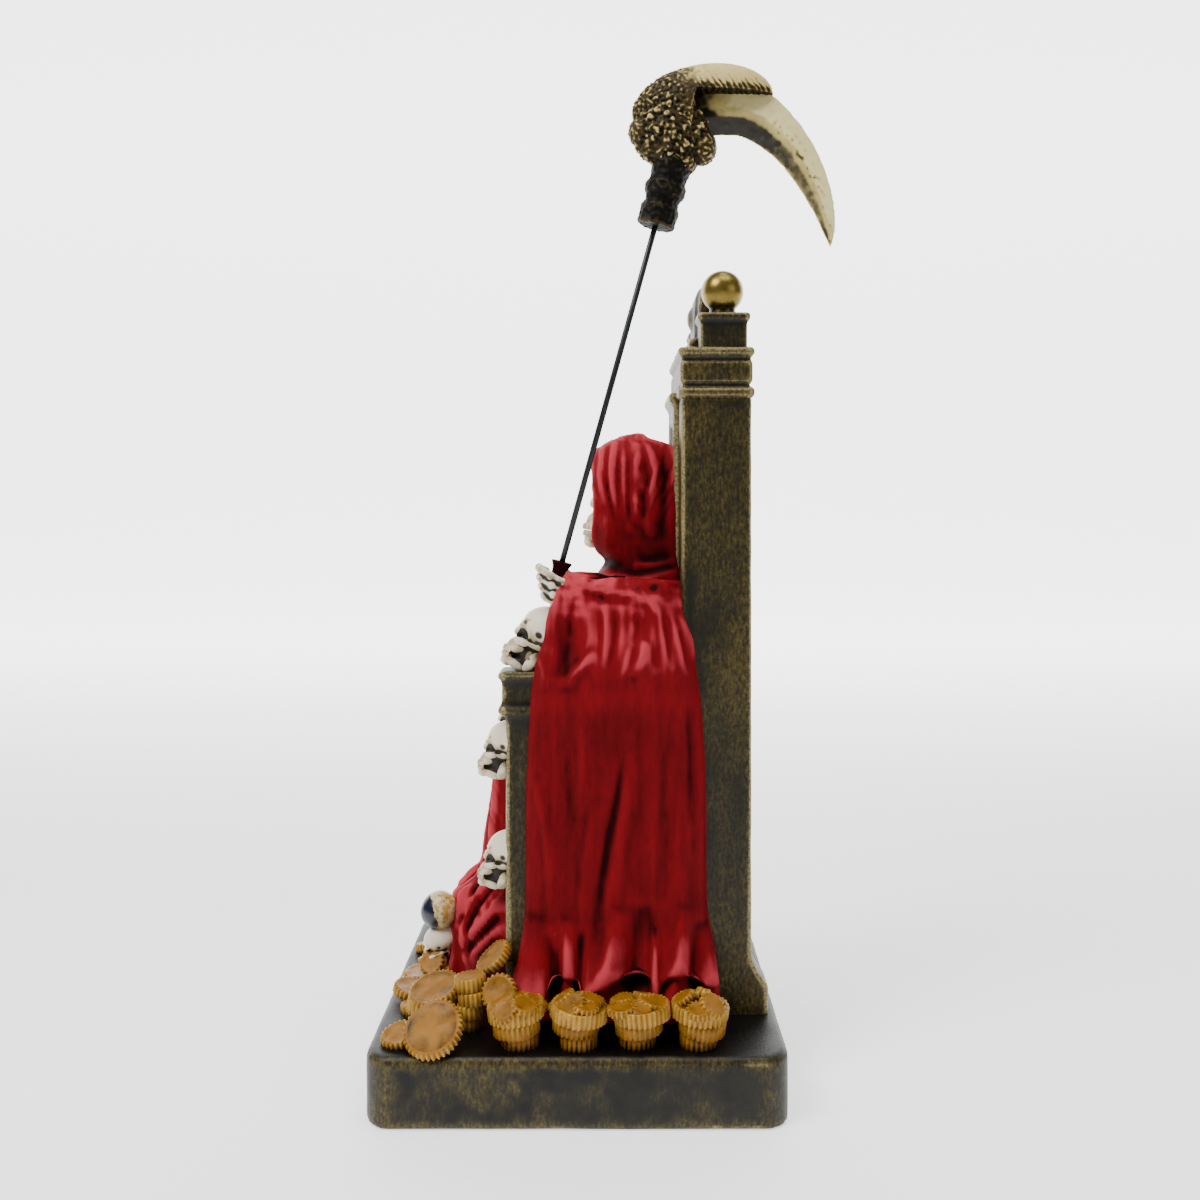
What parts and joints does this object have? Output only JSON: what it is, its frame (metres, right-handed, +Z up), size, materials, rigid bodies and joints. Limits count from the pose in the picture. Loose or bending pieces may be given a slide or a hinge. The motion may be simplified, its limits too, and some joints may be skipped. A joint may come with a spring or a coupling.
{
  "type": "santa muerte figure",
  "caption": "Painted cast figure of a hooded skeleton seated on a throne, holding a raised scythe, on a rounded base heaped with coins.",
  "frame": {"origin": "on the underside of the base, under the middle of the figure and 0.5 mm behind the middle of the base's depth", "axes": "+Z up, the figure faces -Y, its raised left hand is at +X"},
  "size_m": [0.1135, 0.1377, 0.3077],
  "materials": {
    "painted_resin": "cast polyresin, hand painted and dry-brushed",
    "red_paint": "satin red paint on the cast cloth, darker in the folds",
    "throne_paint": "black-green paint dry-brushed with old gold",
    "bone_paint": "ivory paint with a brown wash in the hollows",
    "coin_gold": "ochre gold paint with a dark wash and bright rims",
    "globe_paint": "navy paint with cream and gold patches",
    "steel_wire": "dark grey drawn steel wire",
    "scythe_gold": "antique gold paint with a dark wash, bright along the blade"
  },
  "bodies": {
    "root": {"cast_figure": "painted_resin", "scythe_rod": "steel_wire", "scythe_head": "scythe_gold"}
  },
  "joints": []
}
